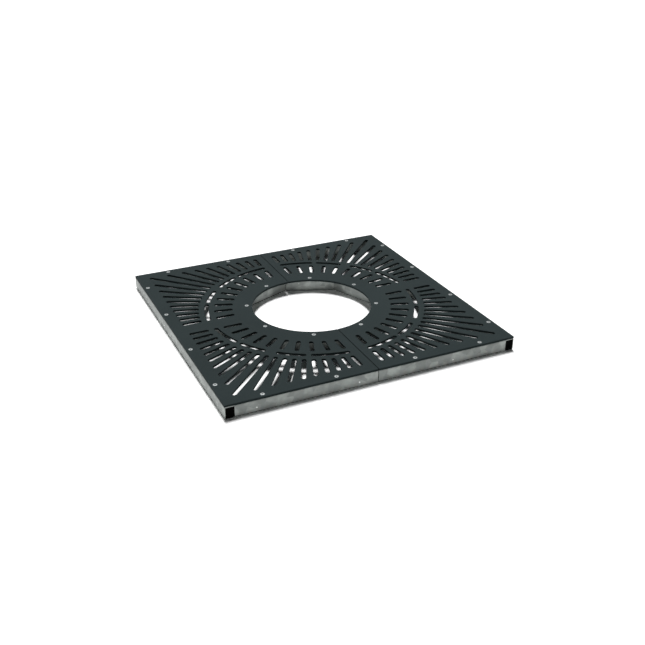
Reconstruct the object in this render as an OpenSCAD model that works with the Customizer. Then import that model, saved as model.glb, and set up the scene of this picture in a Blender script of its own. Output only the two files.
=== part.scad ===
// A square grate that lies round a street tree. Two mirrored halves close
// round the trunk and meet at a seam that runs front to back. Each half is a
// slotted plate, held by countersunk screws on a frame of rectangular steel
// tube. Millimetres. The origin is the centre of the underside, +X runs along
// the front edge, +Y from front to back and +Z up.

/* [Overall] */
// Length of each side of the square
grate_side = 1200; // [1160:20:1600]
// Diameter of the tree opening
tree_hole_d = 500; // [400:10:520]
// Gap between the two halves at the seam
seam_gap = 3; // [1:0.5:6]

/* [Plate and slots] */
// Thickness of the slotted top plate
top_plate_t = 8; // [6:0.5:12]
// Width of every slot
slot_w = 18; // [14:0.5:20]
// Distance from both middle lines to the centre that a quarter fans out from
fan_offset = 46; // [40:1:50]
// Solid rim between the tree opening and the spoke slots
rim_w = 81; // [76:1:90]
// Length of the spoke slots, the short ones near the opening
spoke_len = 79; // [50:1:84]
// Solid band between the spoke slots and the arc slots
inner_band_w = 21; // [16:1:26]
// Solid band between the arc slots and the ray slots
outer_band_w = 22; // [16:1:26]
// Plain border outside the ray slots, the long ones
border_w = 50; // [46:1:58]
// Steps between the ray slots of a quarter
ray_steps = 18; // [12:1:19]
// Steps between the spoke slots of a quarter
spoke_steps = 9; // [6:1:10]
// Angle at which the first arc slot of a quarter ends
arc_1_end_deg = 23.5; // [20:0.5:25]
// Angle at which the second arc slot of a quarter starts
arc_2_start_deg = 28; // [27.5:0.5:30]
// Angle at which the second arc slot of a quarter ends
arc_2_end_deg = 41; // [38:0.5:42]

/* [Tubes] */
// Width of the rectangular tube
tube_w = 40; // [32:1:44]
// Height of the rectangular tube
tube_h = 50; // [44:1:80]
// Wall thickness of the tube
tube_wall = 3; // [2:0.25:3.5]
// Outer corner radius of the tube
tube_r = 5; // [4:0.25:5.5]
// Setback of the ring of tubes from the edge of the tree opening
ring_setback = 10; // [8:1:20]

/* [Screws] */
// Distance from a corner of the square to the nearest screw
screw_end_inset = 148; // [120:1:180]
// Distance from a middle line of the square to the nearest edge screw
screw_mid_inset = 164; // [120:1:200]
// Distance from the edge of the square to the row of edge screws
screw_edge_inset = 18; // [17.5:0.5:20]
// Distance from the inner face of a ring tube to its screw
screw_ring_inset = 12.5; // [12.5:0.5:18]
// Diameter of the screw's countersunk head
screw_head_d = 17; // [15:0.5:18]
// Diameter of the screw's shank
screw_d = 8; // [6:0.5:8]
// Length of the screw over all
screw_len = 20; // [16:1:22]

/* [Inserts and plugs] */
// Outer diameter of the threaded insert's sleeve
insert_d = 11; // [10:0.5:12]
// Length of the threaded insert
insert_len = 15; // [12:0.5:17]
// Diameter of the insert's collar, formed under the tube's wall
collar_d = 14; // [12.5:0.5:14]
// Height of that collar
collar_h = 2.5; // [1.5:0.25:4]
// Depth of a tube's end plug
plug_len = 18; // [12:1:30]
// Thickness of the plug's face
plug_face_t = 4; // [3:0.5:6]

/* [Hidden] */
// Cuts run past the faces that they leave by this much
overrun = 1;
// Clearance all round a screw, an insert or a plug in its seat
fit_gap = 0.1;
// Cylindrical edge of the screw's head, above its cone
head_land = 0.6;
// Chamfer at the screw's tip
tip_chamfer = 1;
// Width across flats of the screw's hexagonal socket, and its depth
socket_af = 5;
socket_depth = 3.2;
// Wall of the hollow plug, and the height, thickness and number of its fins
plug_wall = 2;
fin_h = 1;
fin_t = 1.2;
fin_count = 3;

half_side = grate_side / 2;
half_seam = seam_gap / 2;
hole_r = tree_hole_d / 2;
grate_h = tube_h + top_plate_t;

spoke_in_r = hole_r + rim_w;
spoke_out_r = spoke_in_r + spoke_len;
arc_r = spoke_out_r + inner_band_w + slot_w / 2;
ray_in_r = arc_r + slot_w / 2 + outer_band_w;
ray_end = half_side - border_w - slot_w / 2;
arc_1_start_deg = asin(fan_offset / arc_r);
quarter_arcs = [
    [arc_1_start_deg, arc_1_end_deg],
    [arc_2_start_deg, arc_2_end_deg],
    [90 - arc_2_end_deg, 90 - arc_2_start_deg],
    [90 - arc_1_end_deg, 90 - arc_1_start_deg]
];

ring_in = hole_r + ring_setback;
ring_out = ring_in + tube_w;
ring_half_deg = 22.5;
ring_degs = [-67.5, -22.5, 22.5, 67.5];
cone_h = (screw_head_d - screw_d) / 2;
cavity_w = tube_w - 2 * tube_wall;
cavity_h = tube_h - 2 * tube_wall;
cavity_r = tube_r - tube_wall;

// Screw places on the right half: along the side, the front and the back
screw_run = half_side - screw_edge_inset;
screw_far = half_side - screw_end_inset;
side_spots = [for (y = [-screw_far, -screw_mid_inset, screw_mid_inset, screw_far]) [screw_run, y]];
front_spots = [for (x = [screw_mid_inset, screw_far]) [x, -screw_run]];
back_spots = [for (x = [screw_mid_inset, screw_far]) [x, screw_run]];
ring_spots = [for (a = ring_degs) (ring_in + screw_ring_inset) * [cos(a), sin(a)]];
all_spots = concat(side_spots, front_spots, back_spots, ring_spots);

$fn = 48;

// Distance along a slot's line, in direction a from the fan centre, to the
// circle of radius r about the middle of the grate
function along_to_circle(a, r) =
    let (c = fan_offset * (cos(a) + sin(a)))
    sqrt(c * c - 2 * fan_offset * fan_offset + r * r) - c;

// The same to the square line where the ray slots end
function along_to_square(a) = (ray_end - fan_offset) / max(cos(a), sin(a));

// A slot with round ends, from s0 to s1 along direction a from the fan centre
module fan_slot(a, s0, s1) {
    translate([fan_offset, fan_offset])
        rotate(a) {
            translate([s0, -slot_w / 2]) square([s1 - s0, slot_w]);
            translate([s0, 0]) circle(d = slot_w);
            translate([s1, 0]) circle(d = slot_w);
        }
}

// A slot with round ends that follows the circle of radius arc_r
module arc_slot(a0, a1) {
    far = 2 * arc_r;
    intersection() {
        difference() {
            circle(r = arc_r + slot_w / 2);
            circle(r = arc_r - slot_w / 2);
        }
        polygon([[0, 0], far * [cos(a0), sin(a0)], far * [cos(a1), sin(a1)]]);
    }
    for (a = [a0, a1])
        translate(arc_r * [cos(a), sin(a)]) circle(d = slot_w);
}

// All slots of one quarter
module quarter_slots() {
    for (i = [0 : ray_steps]) {
        a = 90 * i / ray_steps;
        fan_slot(a, along_to_circle(a, ray_in_r + slot_w / 2), along_to_square(a));
    }
    for (i = [0 : spoke_steps]) {
        a = 90 * i / spoke_steps;
        fan_slot(
            a,
            along_to_circle(a, spoke_in_r + slot_w / 2),
            along_to_circle(a, spoke_out_r - slot_w / 2)
        );
    }
    for (arc = quarter_arcs)
        arc_slot(arc[0], arc[1]);
}

// Outline of the right half of the plate
module plate_outline() {
    difference() {
        translate([half_seam, -half_side]) square([half_side - half_seam, grate_side]);
        circle(d = tree_hole_d, $fn = 96);
        quarter_slots();
        mirror([0, 1, 0]) quarter_slots();
    }
}

// Countersunk hole for a screw, its mouth at z = 0 and running down
module screw_hole() {
    rotate_extrude()
        polygon([
            [0, overrun],
            [screw_head_d / 2 + fit_gap, overrun],
            [screw_head_d / 2 + fit_gap, -head_land],
            [screw_d / 2 + fit_gap, -head_land - cone_h],
            [screw_d / 2 + fit_gap, -top_plate_t - overrun],
            [0, -top_plate_t - overrun]
        ]);
}

// Countersunk socket screw, the top of its head at z = 0
module screw() {
    difference() {
        rotate_extrude()
            polygon([
                [0, 0],
                [screw_head_d / 2, 0],
                [screw_head_d / 2, -head_land],
                [screw_d / 2, -head_land - cone_h],
                [screw_d / 2, -screw_len + tip_chamfer],
                [screw_d / 2 - tip_chamfer, -screw_len],
                [0, -screw_len]
            ]);
        translate([0, 0, -socket_depth])
            cylinder(d = socket_af / cos(30), h = socket_depth + overrun, $fn = 6);
    }
}

// Threaded insert, flush with the tube's face at z = 0, its collar drawn up
// against the inside of the wall
module insert() {
    difference() {
        union() {
            translate([0, 0, -insert_len]) cylinder(d = insert_d, h = insert_len);
            translate([0, 0, -tube_wall - collar_h]) cylinder(d = collar_d, h = collar_h);
        }
        translate([0, 0, -insert_len - overrun])
            cylinder(d = screw_d + 2 * fit_gap, h = insert_len + 2 * overrun);
    }
}

// Rectangle with rounded corners, centred
module rounded_rect(w, h, r) {
    square([w - 2 * r, h], center = true);
    square([w, h - 2 * r], center = true);
    for (x = [-1, 1], y = [-1, 1])
        translate([x * (w / 2 - r), y * (h / 2 - r)]) circle(r = r);
}

// Section of the rectangular tube
module tube_section() {
    difference() {
        rounded_rect(tube_w, tube_h, tube_r);
        rounded_rect(cavity_w, cavity_h, cavity_r);
    }
}

// Straight tube along +Y, from y = 0, centred on x = 0 and resting on z = 0
module tube_along_y(len) {
    translate([0, len, tube_h / 2])
        rotate([90, 0, 0])
            linear_extrude(height = len) tube_section();
}

// Holes for the inserts, through the upper wall of a tube
module insert_holes(spots) {
    for (p = spots)
        translate([p[0], p[1], tube_h - tube_wall - overrun])
            cylinder(d = insert_d + 2 * fit_gap, h = tube_wall + 2 * overrun);
}

// End plug in a tube's mouth, its face outwards along -Y at y = 0
module plug() {
    rotate([90, 0, 0])
        mirror([0, 0, 1])
        difference() {
            union() {
                linear_extrude(height = plug_face_t)
                    rounded_rect(cavity_w - 2 * fit_gap, cavity_h - 2 * fit_gap, cavity_r);
                linear_extrude(height = plug_len)
                    rounded_rect(cavity_w - 2 * fin_h, cavity_h - 2 * fin_h, cavity_r);
                for (i = [1 : fin_count])
                    translate([0, 0, plug_face_t + (plug_len - plug_face_t) * i / fin_count - fin_t])
                        linear_extrude(height = fin_t)
                            rounded_rect(cavity_w - 2 * fit_gap, cavity_h - 2 * fit_gap, cavity_r);
            }
            translate([0, 0, plug_face_t])
                linear_extrude(height = plug_len)
                    rounded_rect(
                        cavity_w - 2 * fin_h - 2 * plug_wall,
                        cavity_h - 2 * fin_h - 2 * plug_wall,
                        cavity_r
                    );
        }
}

// Right half, piece by piece

module top_plate() {
    difference() {
        translate([0, 0, tube_h])
            linear_extrude(height = top_plate_t) plate_outline();
        for (p = all_spots)
            translate([p[0], p[1], grate_h]) screw_hole();
    }
}

module side_tube() {
    difference() {
        translate([half_side - tube_w / 2, -half_side]) tube_along_y(grate_side);
        insert_holes(side_spots);
    }
}

module front_tube() {
    difference() {
        translate([half_seam, -half_side + tube_w / 2])
            rotate([0, 0, -90])
            tube_along_y(half_side - tube_w - half_seam);
        insert_holes(front_spots);
    }
}

module back_tube() {
    difference() {
        translate([half_seam, half_side - tube_w / 2])
            rotate([0, 0, -90])
            tube_along_y(half_side - tube_w - half_seam);
        insert_holes(back_spots);
    }
}

// Arm from the side tube to the nearest corner of the ring, cut to fit the
// two faces that meet there
module arm_tube() {
    far = ring_out + tube_w;
    difference() {
        translate([ring_out, 0])
            rotate([0, 0, -90])
            tube_along_y(half_side - tube_w - ring_out);
        for (a = [-ring_half_deg, ring_half_deg])
            rotate(a)
                translate([0, -far, -overrun])
                cube([ring_out, 2 * far, tube_h + 2 * overrun]);
    }
}

// One tube of the octagonal ring, mitred at the corners of the octagon, and
// square with the seam where the ring is parted
module ring_tube(i) {
    a = ring_degs[i];
    far = ring_out + overrun;
    span = 2 * far * tan(ring_half_deg);
    difference() {
        intersection() {
            rotate(a)
                translate([ring_in + tube_w / 2, -span / 2]) tube_along_y(span);
            rotate(a)
                translate([0, 0, -overrun])
                linear_extrude(height = tube_h + 2 * overrun)
                polygon([[0, 0], [far, -span / 2], [far, span / 2]]);
            translate([half_seam, -2 * far, -overrun])
                cube([2 * far, 4 * far, tube_h + 2 * overrun]);
        }
        insert_holes([ring_spots[i]]);
    }
}

module end_plugs() {
    side_x = half_side - tube_w / 2;
    translate([side_x, -half_side, tube_h / 2]) plug();
    translate([side_x, half_side, tube_h / 2]) rotate([0, 0, 180]) plug();
    for (y = [-1, 1])
        translate([half_seam, y * (half_side - tube_w / 2), tube_h / 2])
            rotate([0, 0, -90]) plug();
}

module screws() {
    for (p = all_spots)
        translate([p[0], p[1], grate_h]) screw();
}

module inserts() {
    for (p = all_spots)
        translate([p[0], p[1], tube_h]) insert();
}

// The left half is the right half mirrored
module left() {
    mirror([1, 0, 0]) children();
}

module left_top_plate() { color("slategray") left() top_plate(); }
module left_side_tube() { color("silver") left() side_tube(); }
module left_front_tube() { color("silver") left() front_tube(); }
module left_back_tube() { color("silver") left() back_tube(); }
module left_arm_tube() { color("silver") left() arm_tube(); }
module left_ring_tube_1() { color("darkgray") left() ring_tube(0); }
module left_ring_tube_2() { color("darkgray") left() ring_tube(1); }
module left_ring_tube_3() { color("darkgray") left() ring_tube(2); }
module left_ring_tube_4() { color("darkgray") left() ring_tube(3); }
module left_end_plugs() { color("black") left() end_plugs(); }
module left_screws() { color("gainsboro") left() screws(); }
module left_inserts() { color("lightgray") left() inserts(); }

module right_top_plate() { color("slategray") top_plate(); }
module right_side_tube() { color("silver") side_tube(); }
module right_front_tube() { color("silver") front_tube(); }
module right_back_tube() { color("silver") back_tube(); }
module right_arm_tube() { color("silver") arm_tube(); }
module right_ring_tube_1() { color("darkgray") ring_tube(0); }
module right_ring_tube_2() { color("darkgray") ring_tube(1); }
module right_ring_tube_3() { color("darkgray") ring_tube(2); }
module right_ring_tube_4() { color("darkgray") ring_tube(3); }
module right_end_plugs() { color("black") end_plugs(); }
module right_screws() { color("gainsboro") screws(); }
module right_inserts() { color("lightgray") inserts(); }

left_top_plate();
left_side_tube();
left_front_tube();
left_back_tube();
left_arm_tube();
left_ring_tube_1();
left_ring_tube_2();
left_ring_tube_3();
left_ring_tube_4();
left_end_plugs();
left_screws();
left_inserts();
right_top_plate();
right_side_tube();
right_front_tube();
right_back_tube();
right_arm_tube();
right_ring_tube_1();
right_ring_tube_2();
right_ring_tube_3();
right_ring_tube_4();
right_end_plugs();
right_screws();
right_inserts();
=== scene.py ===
import math

import bmesh
import bpy
from mathutils import Matrix, Vector


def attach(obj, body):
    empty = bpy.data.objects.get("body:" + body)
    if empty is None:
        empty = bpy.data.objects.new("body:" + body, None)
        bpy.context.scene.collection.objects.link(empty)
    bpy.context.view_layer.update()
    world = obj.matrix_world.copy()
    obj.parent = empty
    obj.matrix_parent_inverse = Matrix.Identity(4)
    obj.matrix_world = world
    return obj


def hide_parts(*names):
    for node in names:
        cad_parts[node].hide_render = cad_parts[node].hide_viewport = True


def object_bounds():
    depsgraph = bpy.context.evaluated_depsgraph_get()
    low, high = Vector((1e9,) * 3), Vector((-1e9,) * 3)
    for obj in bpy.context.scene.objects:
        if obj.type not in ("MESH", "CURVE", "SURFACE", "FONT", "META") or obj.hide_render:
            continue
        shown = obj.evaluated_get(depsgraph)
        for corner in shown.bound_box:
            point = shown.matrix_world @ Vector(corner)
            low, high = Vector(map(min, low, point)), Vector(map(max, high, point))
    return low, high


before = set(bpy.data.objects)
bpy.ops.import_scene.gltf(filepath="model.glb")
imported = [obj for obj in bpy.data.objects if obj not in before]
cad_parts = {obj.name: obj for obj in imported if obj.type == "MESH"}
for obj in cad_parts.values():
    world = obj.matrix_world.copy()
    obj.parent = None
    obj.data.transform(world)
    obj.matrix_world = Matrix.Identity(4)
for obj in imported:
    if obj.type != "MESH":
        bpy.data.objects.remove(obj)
cad_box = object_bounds()

# Frame of rectangular tube, hot-dip galvanised after welding. The zinc is a
# dull grey of large crystals with soft edges, cloudy patches and a few bright
# specks where it ran. Each half is welded into one piece.
HALVES = ["left", "right"]
TUBE_NODES = [
    "side_tube", "front_tube", "back_tube", "arm_tube",
    "ring_tube_1", "ring_tube_2", "ring_tube_3", "ring_tube_4",
]


def link(tree, source, target):
    tree.links.new(source, target)


def math_node(tree, operation, first, second):
    node = tree.nodes.new("ShaderNodeMath")
    node.operation = operation
    for socket, value in zip(node.inputs, (first, second)):
        if isinstance(value, (int, float)):
            socket.default_value = value
        else:
            link(tree, value, socket)
    return node.outputs["Value"]


def noise_node(tree, vector, scale, detail, roughness):
    node = tree.nodes.new("ShaderNodeTexNoise")
    node.inputs["Scale"].default_value = scale
    node.inputs["Detail"].default_value = detail
    node.inputs["Roughness"].default_value = roughness
    link(tree, vector, node.inputs["Vector"])
    return node


def remap(tree, value, low, high, out_low, out_high):
    node = tree.nodes.new("ShaderNodeMapRange")
    node.inputs["From Min"].default_value = low
    node.inputs["From Max"].default_value = high
    node.inputs["To Min"].default_value = out_low
    node.inputs["To Max"].default_value = out_high
    link(tree, value, node.inputs["Value"])
    return node.outputs["Result"]


def colour_ramp(tree, value, stops):
    node = tree.nodes.new("ShaderNodeValToRGB")
    ramp = node.color_ramp
    while len(ramp.elements) < len(stops):
        ramp.elements.new(0.5)
    for element, (position, colour) in zip(ramp.elements, stops):
        element.position = position
        element.color = (*colour, 1)
    link(tree, value, node.inputs["Fac"])
    return node.outputs["Color"]


def blend_colour(tree, share, first, second):
    """Colour that goes from first to second with share; each is a socket or a colour."""
    node = tree.nodes.new("ShaderNodeMix")
    node.data_type = "RGBA"
    link(tree, share, node.inputs[0])
    for socket, value in ((node.inputs[6], first), (node.inputs[7], second)):
        if isinstance(value, tuple):
            socket.default_value = (*value, 1)
        else:
            link(tree, value, socket)
    return node.outputs[2]


def bump(tree, surface, height, distance, strength):
    node = tree.nodes.new("ShaderNodeBump")
    node.inputs["Distance"].default_value = distance
    node.inputs["Strength"].default_value = strength
    link(tree, height, node.inputs["Height"])
    link(tree, node.outputs["Normal"], surface.inputs["Normal"])


def new_material(name):
    material = bpy.data.materials.new(name)
    material.use_nodes = True
    tree = material.node_tree
    return material, tree, tree.nodes["Principled BSDF"]


def new_group(name, inputs, outputs):
    """Empty shader group with float inputs (name, default) and outputs (name, socket type)."""
    group = bpy.data.node_groups.new(name, "ShaderNodeTree")
    for socket_name, value in inputs:
        socket = group.interface.new_socket(
            socket_name, in_out="INPUT", socket_type="NodeSocketFloat"
        )
        socket.default_value = value
    for socket_name, kind in outputs:
        group.interface.new_socket(socket_name, in_out="OUTPUT", socket_type=kind)
    return group, group.nodes.new("NodeGroupInput"), group.nodes.new("NodeGroupOutput")


# Mottle: soft patches and a fine grain, as counts per metre on the object
mottle, mottle_in, mottle_out = new_group(
    "mottle",
    [("Coarse", 8.0), ("Fine", 60.0)],
    [("Patches", "NodeSocketFloat"), ("Grain", "NodeSocketFloat")],
)
place = mottle.nodes.new("ShaderNodeTexCoord").outputs["Object"]
coarse = noise_node(mottle, place, 8.0, 3.0, 0.55)
fine = noise_node(mottle, place, 60.0, 4.0, 0.6)
link(mottle, mottle_in.outputs["Coarse"], coarse.inputs["Scale"])
link(mottle, mottle_in.outputs["Fine"], fine.inputs["Scale"])
link(mottle, coarse.outputs["Fac"], mottle_out.inputs["Patches"])
link(mottle, fine.outputs["Fac"], mottle_out.inputs["Grain"])


def mottle_node(tree, coarse_scale, fine_scale):
    node = tree.nodes.new("ShaderNodeGroup")
    node.node_tree = mottle
    node.inputs["Coarse"].default_value = coarse_scale
    node.inputs["Fine"].default_value = fine_scale
    return node


def patchy_colour(tree, patches, edge, dark, light):
    """Colour that follows the patches, even below edge and above one minus edge."""
    return colour_ramp(tree, patches.outputs["Patches"], [(edge, dark), (1 - edge, light)])


GRAIN_LOW = 0.3
GRAIN_HIGH = 0.7


def grainy_roughness(tree, surface, patches, smooth, rough):
    roughness = remap(tree, patches.outputs["Grain"], GRAIN_LOW, GRAIN_HIGH, smooth, rough)
    link(tree, roughness, surface.inputs["Roughness"])


def finish_node(node_name, material):
    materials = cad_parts[node_name].data.materials
    materials.clear()
    materials.append(material)


CRYSTALS_PER_M = 34.0
CRYSTAL_SHARE = 0.28
CLOUDS_PER_M = 17.0
GRAINS_PER_M = 160.0
SPECKS_PER_M = 18.0
SPECK_RADIUS = 0.004
ZINC_DARK = (0.213, 0.232, 0.222)
ZINC_MID = (0.257, 0.279, 0.267)
ZINC_LIGHT = (0.378, 0.407, 0.39)
ZINC_SPECK = (0.72, 0.74, 0.72)

zinc, tree, surface = new_material("galvanised_zinc")
patches = mottle_node(tree, CLOUDS_PER_M, GRAINS_PER_M)
place = tree.nodes.new("ShaderNodeTexCoord").outputs["Object"]
crystals = tree.nodes.new("ShaderNodeTexVoronoi")
crystals.feature = "SMOOTH_F1"
crystals.inputs["Scale"].default_value = CRYSTALS_PER_M
crystals.inputs["Smoothness"].default_value = 0.12
link(tree, place, crystals.inputs["Vector"])
facet = tree.nodes.new("ShaderNodeSeparateColor")
link(tree, crystals.outputs["Color"], facet.inputs["Color"])
tone = math_node(
    tree,
    "ADD",
    math_node(tree, "MULTIPLY", facet.outputs["Red"], CRYSTAL_SHARE),
    math_node(tree, "MULTIPLY", patches.outputs["Patches"], 1 - CRYSTAL_SHARE),
)
shade = colour_ramp(tree, tone, [(0.32, ZINC_DARK), (0.5, ZINC_MID), (0.68, ZINC_LIGHT)])
specks = tree.nodes.new("ShaderNodeTexVoronoi")
specks.inputs["Scale"].default_value = SPECKS_PER_M
link(tree, place, specks.inputs["Vector"])
speck = remap(
    tree,
    specks.outputs["Distance"],
    SPECK_RADIUS * SPECKS_PER_M * 0.6,
    SPECK_RADIUS * SPECKS_PER_M,
    1.0,
    0.0,
)
link(tree, blend_colour(tree, speck, shade, ZINC_SPECK), surface.inputs["Base Color"])
grainy_roughness(tree, surface, patches, 0.40, 0.55)
surface.inputs["Metallic"].default_value = 0.5
bump(tree, surface, patches.outputs["Grain"], 0.0006, 0.35)
for half in HALVES:
    for part in TUBE_NODES:
        finish_node(f"{half}_{part}", zinc)

# Weld beads, galvanised with the tubes: the corner between two tubes is filled
# by a run of small ripples. Joints on the outside of the frame are ground
# flush, so beads show only inside it and in the tree opening.
BEAD_RADIUS = 0.0019
BEAD_PITCH = 0.0021
BEAD_RIPPLE = 0.00022
BEAD_SIDES = 10
RIPPLE_STEPS = 4
RIPPLE_UNREST_PER_M = 350.0
BEAD_LOW = 0.004
BEAD_HIGH = 0.046
FRAME_CORNER = 0.5593
ARM_CORNER = 0.0207
ARM_ON_RING = (0.3172, 0.0208)
RING_INNER_CORNER = 0.2806
RING_OUTER_CORNER = 0.3240


def node_input(modifier, name, value):
    for item in modifier.node_group.interface.items_tree:
        if item.item_type == "SOCKET" and item.in_out == "INPUT" and item.name == name:
            modifier[item.identifier] = value


def geometry_tree(name, inputs):
    """Empty geometry tree that takes and gives a mesh; inputs are (name, socket type, value)."""
    tree = bpy.data.node_groups.new(name, "GeometryNodeTree")
    tree.interface.new_socket("Geometry", in_out="INPUT", socket_type="NodeSocketGeometry")
    for socket_name, kind, value in inputs:
        socket = tree.interface.new_socket(socket_name, in_out="INPUT", socket_type=kind)
        if value is not None:
            socket.default_value = value
    tree.interface.new_socket("Geometry", in_out="OUTPUT", socket_type="NodeSocketGeometry")
    return tree, tree.nodes.new("NodeGroupInput"), tree.nodes.new("NodeGroupOutput")


def made_by_nodes(name, mesh, tree, values):
    """Object whose plain mesh is what the tree makes of the given one."""
    piece = bpy.data.objects.new(name, mesh)
    bpy.context.collection.objects.link(piece)
    modifier = piece.modifiers.new("nodes", "NODES")
    modifier.node_group = tree
    for input_name, value in values.items():
        node_input(modifier, input_name, value)
    depsgraph = bpy.context.evaluated_depsgraph_get()
    finished = bpy.data.meshes.new_from_object(piece.evaluated_get(depsgraph))
    piece.modifiers.clear()
    piece.data = finished
    finished.name = name
    return piece


bead_tree, tree_in, tree_out = geometry_tree(
    "weld_beads",
    [
        ("Radius", "NodeSocketFloat", BEAD_RADIUS),
        ("Pitch", "NodeSocketFloat", BEAD_PITCH),
        ("Ripple", "NodeSocketFloat", BEAD_RIPPLE),
    ],
)
runs = bead_tree.nodes.new("GeometryNodeMeshToCurve")
link(bead_tree, tree_in.outputs["Geometry"], runs.inputs["Mesh"])
stepped = bead_tree.nodes.new("GeometryNodeResampleCurve")
stepped.mode = "LENGTH"
stepped.inputs["Length"].default_value = BEAD_PITCH / RIPPLE_STEPS
link(bead_tree, runs.outputs["Curve"], stepped.inputs["Curve"])
ring = bead_tree.nodes.new("GeometryNodeCurvePrimitiveCircle")
ring.inputs["Resolution"].default_value = BEAD_SIDES
link(bead_tree, tree_in.outputs["Radius"], ring.inputs["Radius"])
swept = bead_tree.nodes.new("GeometryNodeCurveToMesh")
swept.inputs["Fill Caps"].default_value = True
link(bead_tree, stepped.outputs["Curve"], swept.inputs["Curve"])
link(bead_tree, ring.outputs["Curve"], swept.inputs["Profile Curve"])
where = bead_tree.nodes.new("GeometryNodeInputPosition")
height = bead_tree.nodes.new("ShaderNodeSeparateXYZ")
link(bead_tree, where.outputs["Position"], height.inputs["Vector"])
unrest = noise_node(bead_tree, where.outputs["Position"], RIPPLE_UNREST_PER_M, 2.0, 0.5)
phase = math_node(bead_tree, "DIVIDE", height.outputs["Z"], tree_in.outputs["Pitch"])
phase = math_node(bead_tree, "ADD", phase, unrest.outputs["Fac"])
wave = math_node(bead_tree, "SINE", math_node(bead_tree, "MULTIPLY", phase, math.tau), 0.0)
wave = math_node(bead_tree, "MULTIPLY", wave, tree_in.outputs["Ripple"])
outwards = bead_tree.nodes.new("GeometryNodeInputNormal")
push = bead_tree.nodes.new("ShaderNodeVectorMath")
push.operation = "SCALE"
link(bead_tree, outwards.outputs["Normal"], push.inputs["Vector"])
link(bead_tree, wave, push.inputs["Scale"])
rippled = bead_tree.nodes.new("GeometryNodeSetPosition")
link(bead_tree, swept.outputs["Mesh"], rippled.inputs["Geometry"])
link(bead_tree, push.outputs["Vector"], rippled.inputs["Offset"])
real = bead_tree.nodes.new("GeometryNodeRealizeInstances")
link(bead_tree, rippled.outputs["Geometry"], real.inputs["Geometry"])
zinc_set = bead_tree.nodes.new("GeometryNodeSetMaterial")
zinc_set.inputs["Material"].default_value = zinc
link(bead_tree, real.outputs["Geometry"], zinc_set.inputs["Geometry"])
link(bead_tree, zinc_set.outputs["Geometry"], tree_out.inputs["Geometry"])


def round_the_opening(radius, degrees):
    """Point at a distance from the middle of the tree opening, at an angle from +x."""
    angle = math.radians(degrees)
    return radius * math.cos(angle), radius * math.sin(angle)


bead_feet = [
    (FRAME_CORNER, -FRAME_CORNER), (FRAME_CORNER, FRAME_CORNER),
    (FRAME_CORNER, -ARM_CORNER), (FRAME_CORNER, ARM_CORNER),
    (ARM_ON_RING[0], -ARM_ON_RING[1]), ARM_ON_RING,
]
bead_feet += [round_the_opening(RING_INNER_CORNER, degrees) for degrees in (-45, 0, 45)]
bead_feet += [round_the_opening(RING_OUTER_CORNER, degrees) for degrees in (-45, 45)]
for half, side in (("left", -1), ("right", 1)):
    ends = []
    for x, y in bead_feet:
        ends += [(side * x, y, BEAD_LOW), (side * x, y, BEAD_HIGH)]
    lines = bpy.data.meshes.new("bead_lines")
    lines.from_pydata(ends, [(first, first + 1) for first in range(0, len(ends), 2)], [])
    beads = made_by_nodes(f"{half}_weld_beads", lines, bead_tree, {"Radius": BEAD_RADIUS})
    beads.data.shade_smooth()
    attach(beads, f"{half}_half")

# Zinc pimples: small bright drops that froze on the outer faces as the frame
# was drawn from the bath.
PIMPLE_RADIUS = 0.0034
PIMPLE_HEIGHT = 0.0008
PIMPLE_LEAST = 0.6
PIMPLE_MOST = 1.1
BRIGHT_ZINC_DARK = (0.8, 0.82, 0.81)
BRIGHT_ZINC_LIGHT = (0.92, 0.94, 0.93)

frozen, tree, surface = new_material("frozen_zinc_drops")
patches = mottle_node(tree, 300.0, 1500.0)
shade = patchy_colour(tree, patches, 0.35, BRIGHT_ZINC_DARK, BRIGHT_ZINC_LIGHT)
link(tree, shade, surface.inputs["Base Color"])
grainy_roughness(tree, surface, patches, 0.35, 0.5)
surface.inputs["Metallic"].default_value = 0.6

work = bmesh.new()
bmesh.ops.create_icosphere(work, subdivisions=2, radius=1.0)
drop_mesh = bpy.data.meshes.new("drop")
work.to_mesh(drop_mesh)
work.free()
drop_pattern = bpy.data.objects.new("drop_pattern", drop_mesh)
bpy.context.collection.objects.link(drop_pattern)

drop_tree, tree_in, tree_out = geometry_tree(
    "zinc_drops",
    [
        ("Drop", "NodeSocketObject", None),
        ("Radius", "NodeSocketFloat", PIMPLE_RADIUS),
        ("Height", "NodeSocketFloat", PIMPLE_HEIGHT),
        ("Size Seed", "NodeSocketInt", 5),
    ],
)
pattern = drop_tree.nodes.new("GeometryNodeObjectInfo")
link(drop_tree, tree_in.outputs["Drop"], pattern.inputs["Object"])
spread = drop_tree.nodes.new("FunctionNodeRandomValue")
spread.data_type = "FLOAT"
spread.inputs[2].default_value = PIMPLE_LEAST
spread.inputs[3].default_value = PIMPLE_MOST
link(drop_tree, tree_in.outputs["Size Seed"], spread.inputs["Seed"])
size = drop_tree.nodes.new("ShaderNodeCombineXYZ")
wide = math_node(drop_tree, "MULTIPLY", tree_in.outputs["Radius"], spread.outputs[1])
link(drop_tree, wide, size.inputs["X"])
link(drop_tree, wide, size.inputs["Y"])
link(drop_tree, tree_in.outputs["Height"], size.inputs["Z"])
facing = drop_tree.nodes.new("FunctionNodeAlignRotationToVector")
facing.axis = "Z"
outwards = drop_tree.nodes.new("GeometryNodeInputNormal")
link(drop_tree, outwards.outputs["Normal"], facing.inputs["Vector"])
places = drop_tree.nodes.new("GeometryNodeMeshToPoints")
places.mode = "FACES"
kept_facing = drop_tree.nodes.new("GeometryNodeCaptureAttribute")
kept_facing.domain = "FACE"
kept_facing.capture_items.new("ROTATION", "Facing")
link(drop_tree, tree_in.outputs["Geometry"], kept_facing.inputs["Geometry"])
link(drop_tree, facing.outputs["Rotation"], kept_facing.inputs["Facing"])
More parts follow.
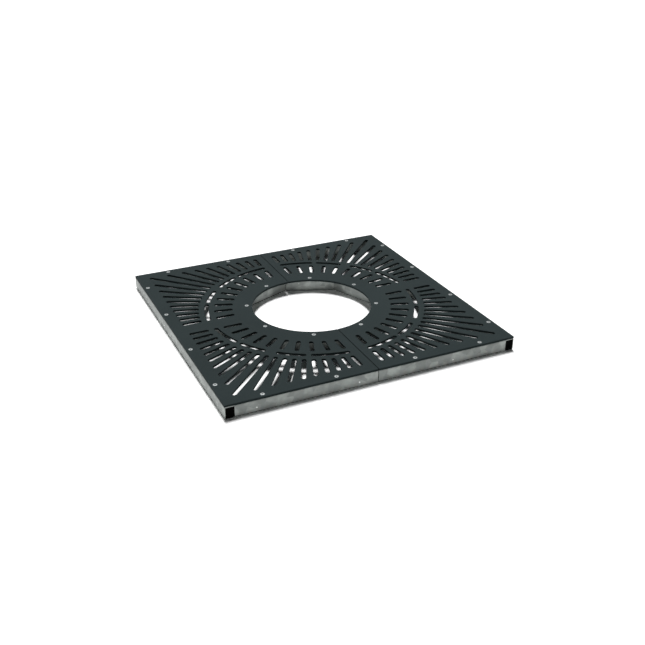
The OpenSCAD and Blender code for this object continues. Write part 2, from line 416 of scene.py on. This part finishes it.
link(drop_tree, kept_facing.outputs["Geometry"], places.inputs["Mesh"])
drops = drop_tree.nodes.new("GeometryNodeInstanceOnPoints")
link(drop_tree, places.outputs["Points"], drops.inputs["Points"])
link(drop_tree, pattern.outputs["Geometry"], drops.inputs["Instance"])
link(drop_tree, kept_facing.outputs["Facing"], drops.inputs["Rotation"])
link(drop_tree, size.outputs["Vector"], drops.inputs["Scale"])
real = drop_tree.nodes.new("GeometryNodeRealizeInstances")
link(drop_tree, drops.outputs["Instances"], real.inputs["Geometry"])
drop_set = drop_tree.nodes.new("GeometryNodeSetMaterial")
drop_set.inputs["Material"].default_value = frozen
link(drop_tree, real.outputs["Geometry"], drop_set.inputs["Geometry"])
link(drop_tree, drop_set.outputs["Geometry"], tree_out.inputs["Geometry"])

OUTER_FACE = 0.6
PLACE_HALF = 0.0005
FRONT_DROPS = {"left": [(-0.481, 0.02), (-0.079, 0.02)], "right": [(0.322, 0.02)]}
BACK_DROPS = {"left": [(-0.31, 0.031)], "right": [(0.093, 0.022), (0.487, 0.029)]}
SIDE_DROPS = {
    "left": [(0.142, 0.021), (0.508, 0.033)],
    "right": [(-0.377, 0.024), (0.036, 0.03)],
}


def small_square(middle, across):
    """Corners of an upright square whose face points to the right of across, seen from above."""
    return [
        tuple(Vector(middle) + PLACE_HALF * (a * Vector(across) + b * Vector((0, 0, 1))))
        for a, b in ((-1, -1), (1, -1), (1, 1), (-1, 1))
    ]


for half, side, seed in (("left", -1, 5), ("right", 1, 11)):
    corners = []
    for x, z in FRONT_DROPS[half]:
        corners += small_square((x, -OUTER_FACE, z), (1, 0, 0))
    for x, z in BACK_DROPS[half]:
        corners += small_square((x, OUTER_FACE, z), (-1, 0, 0))
    for y, z in SIDE_DROPS[half]:
        corners += small_square((side * OUTER_FACE, y, z), (0, side, 0))
    squares = bpy.data.meshes.new("drop_places")
    squares.from_pydata(
        corners, [], [tuple(range(first, first + 4)) for first in range(0, len(corners), 4)]
    )
    pimples = made_by_nodes(
        f"{half}_zinc_pimples", squares, drop_tree, {"Drop": drop_pattern, "Size Seed": seed}
    )
    pimples.data.shade_smooth()
    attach(pimples, f"{half}_half")
bpy.data.objects.remove(drop_pattern)

# Top plate of 8 mm sheet steel, cut by laser and coated in matt slate grey.
# The laser leaves its edges square, and the coat rounds them a little. It
# lies on the tubes.
EDGE_ROUNDING = 0.0003
SHARP_ANGLE = math.radians(30)
FLAT_ANGLE = math.radians(0.5)
SAME_POINT = 1e-6


def softened_copy(node_name, name, body, rounding, material):
    """Merged copy of a CAD node with its edges taken off, shown in place of the node."""
    work = bmesh.new()
    work.from_mesh(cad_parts[node_name].data)
    bmesh.ops.remove_doubles(work, verts=work.verts, dist=SAME_POINT)
    bmesh.ops.dissolve_limit(
        work, angle_limit=FLAT_ANGLE, verts=work.verts, edges=work.edges
    )
    mesh = bpy.data.meshes.new(name)
    work.to_mesh(mesh)
    work.free()
    piece = bpy.data.objects.new(name, mesh)
    bpy.context.collection.objects.link(piece)
    edges = piece.modifiers.new("edges", "BEVEL")
    edges.width = rounding
    edges.segments = 1
    edges.limit_method = "ANGLE"
    edges.angle_limit = SHARP_ANGLE
    depsgraph = bpy.context.evaluated_depsgraph_get()
    finished = bpy.data.meshes.new_from_object(piece.evaluated_get(depsgraph))
    piece.modifiers.clear()
    piece.data = finished
    finished.name = name
    finished.shade_smooth()
    finished.set_sharp_from_angle(angle=SHARP_ANGLE)
    finished.materials.clear()
    finished.materials.append(material)
    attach(piece, body)
    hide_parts(node_name)


COAT_DARK = (0.0235, 0.0330, 0.0340)
COAT_LIGHT = (0.0275, 0.0385, 0.0396)

coat, tree, surface = new_material("slate_coating")
patches = mottle_node(tree, 5.0, 900.0)
shade = patchy_colour(tree, patches, 0.3, COAT_DARK, COAT_LIGHT)
link(tree, shade, surface.inputs["Base Color"])
grainy_roughness(tree, surface, patches, 0.62, 0.78)
surface.inputs["Specular IOR Level"].default_value = 0.05
bump(tree, surface, patches.outputs["Grain"], 0.0001, 0.3)
for half in HALVES:
    softened_copy(
        f"{half}_top_plate", f"{half}_coated_plate", f"{half}_half", EDGE_ROUNDING, coat
    )

# End plugs of moulded black plastic with a fine grain, their edges rounded.
# They are pressed into the tubes' open ends.
PLUG_ROUNDING = 0.0008
PLUG_DARK = (0.0005, 0.0005, 0.0005)
PLUG_LIGHT = (0.001, 0.001, 0.001)

plastic, tree, surface = new_material("black_plastic")
patches = mottle_node(tree, 30.0, 1500.0)
shade = patchy_colour(tree, patches, 0.3, PLUG_DARK, PLUG_LIGHT)
link(tree, shade, surface.inputs["Base Color"])
surface.inputs["Roughness"].default_value = 0.6
surface.inputs["Specular IOR Level"].default_value = 0.012
bump(tree, surface, patches.outputs["Grain"], 0.0001, 0.4)
for half in HALVES:
    softened_copy(
        f"{half}_end_plugs", f"{half}_moulded_plugs", f"{half}_half", PLUG_ROUNDING, plastic,
    )

# Socket screws of stainless steel, M8 with countersunk heads: twelve hold each
# plate on its tubes, flush with its face. Each is turned until it is tight,
# so no two sockets stand alike. Inside its socket each screw is painted near black, as painted
# shade.
LOOP_POINTS = 24
HEAD_RADIUS = 0.0085
CONE_DEPTH = 0.0051
SOCKET_WIDTH = 0.005
SOCKET_DEPTH = 0.0031
SHANK_RADIUS = 0.004
THREAD_ROOT = 0.0035
THREAD_PITCH = 0.00125
THREAD_START = 0.0062
THREAD_END = 0.0175
SCREW_LENGTH = 0.0198
SCREW_SINK = 0.0002
PLATE_TOP = cad_box[1][2]
EDGE_ROW = 0.582
EDGE_PLACES = [0.164, 0.452]
RING_SCREW_RADIUS = 0.2725
RING_SCREW_ANGLES = [-67.5, -22.5, 22.5, 67.5]


def round_loop(radius, height):
    return [
        (radius * math.cos(angle), radius * math.sin(angle), height)
        for angle in (math.tau * count / LOOP_POINTS for count in range(LOOP_POINTS))
    ]


def hexagon_loop(width, height):
    corners = []
    for count in range(LOOP_POINTS):
        angle = math.tau * count / LOOP_POINTS
        from_flat = angle % math.radians(60) - math.radians(30)
        radius = width / 2 / math.cos(from_flat)
        corners.append((radius * math.cos(angle), radius * math.sin(angle), height))
    return corners


def lofted_mesh(name, loops):
    """Closed mesh through loops of points, with a face over each end."""
    work = bmesh.new()
    rows = [[work.verts.new(corner) for corner in loop] for loop in loops]
    for first, second in zip(rows, rows[1:]):
        for count in range(LOOP_POINTS):
            following = (count + 1) % LOOP_POINTS
            work.faces.new((first[count], first[following], second[following], second[count]))
    for row in (rows[0], rows[-1]):
        work.faces.new(row)
    bmesh.ops.recalc_face_normals(work, faces=work.faces)
    mesh = bpy.data.meshes.new(name)
    work.to_mesh(mesh)
    work.free()
    return mesh


def screw_loops():
    """Loops of one screw from the floor of its socket, over the head and down to its tip."""
    loops = [
        round_loop(0.0006, -0.0038),
        hexagon_loop(SOCKET_WIDTH, -SOCKET_DEPTH),
        hexagon_loop(SOCKET_WIDTH, -0.0004),
        round_loop(0.00305, 0.0),
        round_loop(0.0079, 0.0),
        round_loop(0.0083, -0.0001),
        round_loop(HEAD_RADIUS, -0.0004),
        round_loop(HEAD_RADIUS, -0.0006),
        round_loop(SHANK_RADIUS, -CONE_DEPTH),
        round_loop(SHANK_RADIUS, -THREAD_START),
    ]
    depth = THREAD_START
    while depth < THREAD_END:
        loops.append(round_loop(THREAD_ROOT, -depth - THREAD_PITCH / 2))
        loops.append(round_loop(SHANK_RADIUS, -depth - THREAD_PITCH))
        depth += THREAD_PITCH
    loops.append(round_loop(0.003, -SCREW_LENGTH))
    return loops


def screw_places(side):
    places = [(EDGE_ROW, way * run) for way in (-1, 1) for run in EDGE_PLACES]
    places += [(run, way * EDGE_ROW) for way in (-1, 1) for run in EDGE_PLACES]
    places += [round_the_opening(RING_SCREW_RADIUS, degrees) for degrees in RING_SCREW_ANGLES]
    return [(side * x, y, PLATE_TOP - SCREW_SINK) for x, y in places]


# Painted shade: a near-black colour for the inside of the screw sockets.
PAINTED_SOCKET_SHADE = (0.012, 0.012, 0.011)
PAINTED_SHADE_DEPTH = 0.0016
UNSHADED_DEPTH = 0.0005
STEEL_DARK = (0.235, 0.25, 0.25)
STEEL_LIGHT = (0.30, 0.317, 0.317)

stainless, tree, surface = new_material("stainless_steel")
patches = mottle_node(tree, 160.0, 1200.0)
steel = patchy_colour(tree, patches, 0.35, STEEL_DARK, STEEL_LIGHT)
place = tree.nodes.new("ShaderNodeTexCoord").outputs["Object"]
height = tree.nodes.new("ShaderNodeSeparateXYZ")
link(tree, place, height.inputs["Vector"])
# Painted shade: the steel turns near black below the plate's top, so the socket recess looks
# shaded.
unshaded_share = remap(
    tree, height.outputs["Z"], PLATE_TOP - PAINTED_SHADE_DEPTH, PLATE_TOP - UNSHADED_DEPTH, 0.0, 1.0
)
link(tree, blend_colour(tree, unshaded_share, PAINTED_SOCKET_SHADE, steel), surface.inputs["Base Color"])
grainy_roughness(tree, surface, patches, 0.36, 0.48)
surface.inputs["Metallic"].default_value = 1.0
bump(tree, surface, patches.outputs["Grain"], 0.0001, 0.25)

screw_pattern = bpy.data.objects.new("screw_pattern", lofted_mesh("screw", screw_loops()))
bpy.context.collection.objects.link(screw_pattern)

screw_tree, tree_in, tree_out = geometry_tree(
    "screw_row",
    [("Screw", "NodeSocketObject", None), ("Turn Seed", "NodeSocketInt", 3)],
)
pattern = screw_tree.nodes.new("GeometryNodeObjectInfo")
link(screw_tree, tree_in.outputs["Screw"], pattern.inputs["Object"])
turn = screw_tree.nodes.new("FunctionNodeRandomValue")
turn.data_type = "FLOAT"
turn.inputs[3].default_value = math.tau
link(screw_tree, tree_in.outputs["Turn Seed"], turn.inputs["Seed"])
about_z = screw_tree.nodes.new("ShaderNodeCombineXYZ")
link(screw_tree, turn.outputs[1], about_z.inputs["Z"])
turned = screw_tree.nodes.new("FunctionNodeEulerToRotation")
link(screw_tree, about_z.outputs["Vector"], turned.inputs["Euler"])
row = screw_tree.nodes.new("GeometryNodeInstanceOnPoints")
link(screw_tree, tree_in.outputs["Geometry"], row.inputs["Points"])
link(screw_tree, pattern.outputs["Geometry"], row.inputs["Instance"])
link(screw_tree, turned.outputs["Rotation"], row.inputs["Rotation"])
real = screw_tree.nodes.new("GeometryNodeRealizeInstances")
link(screw_tree, row.outputs["Instances"], real.inputs["Geometry"])
steel_set = screw_tree.nodes.new("GeometryNodeSetMaterial")
steel_set.inputs["Material"].default_value = stainless
link(screw_tree, real.outputs["Geometry"], steel_set.inputs["Geometry"])
link(screw_tree, steel_set.outputs["Geometry"], tree_out.inputs["Geometry"])

for half, side, seed in (("left", -1, 3), ("right", 1, 8)):
    points = bpy.data.meshes.new("screw_places")
    points.from_pydata(screw_places(side), [], [])
    screws = made_by_nodes(
        f"{half}_socket_screws", points, screw_tree, {"Screw": screw_pattern, "Turn Seed": seed}
    )
    screws.data.shade_smooth()
    screws.data.set_sharp_from_angle(angle=SHARP_ANGLE)
    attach(screws, f"{half}_half")
    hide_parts(f"{half}_screws")
bpy.data.objects.remove(screw_pattern)

# Threaded inserts of yellow zinc plated steel, pressed into the tubes before
# the plate goes on. They show only from below.
PLATING_DARK = (0.30, 0.25, 0.12)
PLATING_LIGHT = (0.42, 0.37, 0.22)

plating, tree, surface = new_material("yellow_zinc_plating")
patches = mottle_node(tree, 90.0, 900.0)
shade = patchy_colour(tree, patches, 0.35, PLATING_DARK, PLATING_LIGHT)
link(tree, shade, surface.inputs["Base Color"])
grainy_roughness(tree, surface, patches, 0.32, 0.48)
surface.inputs["Metallic"].default_value = 1.0
bump(tree, surface, patches.outputs["Grain"], 0.0001, 0.3)
for half in HALVES:
    finish_node(f"{half}_inserts", plating)

# Floor: plain pale paper. The camera and reflections see it well lit, as in
# a bright studio, and it keeps the shadow and the light that the slots let by.
FLOOR_REACH = 12.0
FLOOR_COLOUR = 0.86
FLOOR_GLARE = 1.49
floor_mesh = bpy.data.meshes.new("floor")
floor_mesh.from_pydata(
    [
        (-FLOOR_REACH, -FLOOR_REACH, 0), (FLOOR_REACH, -FLOOR_REACH, 0),
        (FLOOR_REACH, FLOOR_REACH, 0), (-FLOOR_REACH, FLOOR_REACH, 0),
    ],
    [],
    [(0, 1, 2, 3)],
)
floor = bpy.data.objects.new("floor", floor_mesh)
bpy.context.collection.objects.link(floor)


def seen_rays(tree):
    """One for the rays that show a thing directly or in a reflection."""
    rays = tree.nodes.new("ShaderNodeLightPath").outputs
    seen = math_node(tree, "MAXIMUM", rays["Is Camera Ray"], rays["Is Glossy Ray"])
    return math_node(tree, "MAXIMUM", seen, rays["Is Transmission Ray"])


paper, tree, surface = new_material("floor_paper")
matt = tree.nodes.new("ShaderNodeBsdfDiffuse")
glare = math_node(tree, "MULTIPLY", seen_rays(tree), FLOOR_GLARE - FLOOR_COLOUR)
link(tree, math_node(tree, "ADD", glare, FLOOR_COLOUR), matt.inputs["Color"])
link(tree, matt.outputs["BSDF"], tree.nodes["Material Output"].inputs["Surface"])
tree.nodes.remove(surface)
floor_mesh.materials.append(paper)

# Studio light: a long soft box behind and above the grate, a wide weak fill
# from its left, and little light from elsewhere. The background is white.
AMBIENT = 0.02
world = bpy.data.worlds.new("studio")
bpy.context.scene.world = world
world.use_nodes = True
tree = world.node_tree
background = tree.nodes["Background"]
background.inputs["Color"].default_value = (1, 1, 1, 1)
strength = math_node(tree, "MULTIPLY", seen_rays(tree), 1.0 - AMBIENT)
link(tree, math_node(tree, "ADD", strength, AMBIENT), background.inputs["Strength"])

KEY_DISTANCE = 150.0
KEY_FROM = (6.2, 20.5, 58.0)
KEY_LEVEL = 0.95
KEY_WIDTH = 25.8197
KEY_LENGTH = 65.0656
key_from = Vector(KEY_FROM).normalized()
key_data = bpy.data.lights.new("key", "AREA")
key_data.shape = "ELLIPSE"
key_data.size = KEY_WIDTH
key_data.size_y = KEY_LENGTH
key_data.energy = KEY_LEVEL * math.pi ** 2 * KEY_DISTANCE ** 2
key = bpy.data.objects.new("key", key_data)
bpy.context.collection.objects.link(key)
key_across = Vector((0, 0, 1)).cross(key_from).normalized()
key.matrix_world = (
    Matrix.Translation(key_from * KEY_DISTANCE)
    @ Matrix((key_across, key_from.cross(key_across), key_from)).transposed().to_4x4()
)

FILL_LEVEL = 0.3
FILL_SPREAD = math.radians(30)
FILL_FROM = (-1.0, 0.15, 0.2)
fill_data = bpy.data.lights.new("fill", "SUN")
fill_data.energy = FILL_LEVEL
fill_data.angle = FILL_SPREAD
fill = bpy.data.objects.new("fill", fill_data)
bpy.context.collection.objects.link(fill)
fill.rotation_mode = "QUATERNION"
fill.rotation_quaternion = Vector(FILL_FROM).to_track_quat("Z", "Y")

# Camera at the photograph's angle: in front of the grate, to its left and
# above it. It stands a little off the line through the middle of the plate's
# top, so that the grate takes up the same part of the picture.
CAMERA_AZIMUTH = math.radians(-24.96)
CAMERA_ELEVATION = math.radians(27.04)
CAMERA_DISTANCE = 3.781
CAMERA_TO_RIGHT = 0.0459
CAMERA_UP = -0.0772
CAMERA_LENS = 50.09
CAMERA_SENSOR = 36
CAMERA_SIGHT = 100
back = Vector((
    math.sin(CAMERA_AZIMUTH) * math.cos(CAMERA_ELEVATION),
    -math.cos(CAMERA_AZIMUTH) * math.cos(CAMERA_ELEVATION),
    math.sin(CAMERA_ELEVATION),
))
right = Vector((math.cos(CAMERA_AZIMUTH), math.sin(CAMERA_AZIMUTH), 0))
up = back.cross(right)
camera_data = bpy.data.cameras.new("camera")
camera_data.lens = CAMERA_LENS
camera_data.sensor_width = CAMERA_SENSOR
camera_data.clip_end = CAMERA_SIGHT
camera = bpy.data.objects.new("camera", camera_data)
bpy.context.collection.objects.link(camera)
position = Vector((0, 0, PLATE_TOP)) + back * CAMERA_DISTANCE
position += right * CAMERA_TO_RIGHT
position += up * CAMERA_UP
camera.matrix_world = (
    Matrix.Translation(position) @ Matrix((right, up, back)).transposed().to_4x4()
)
bpy.context.scene.camera = camera
bpy.context.scene.view_settings.view_transform = "Standard"
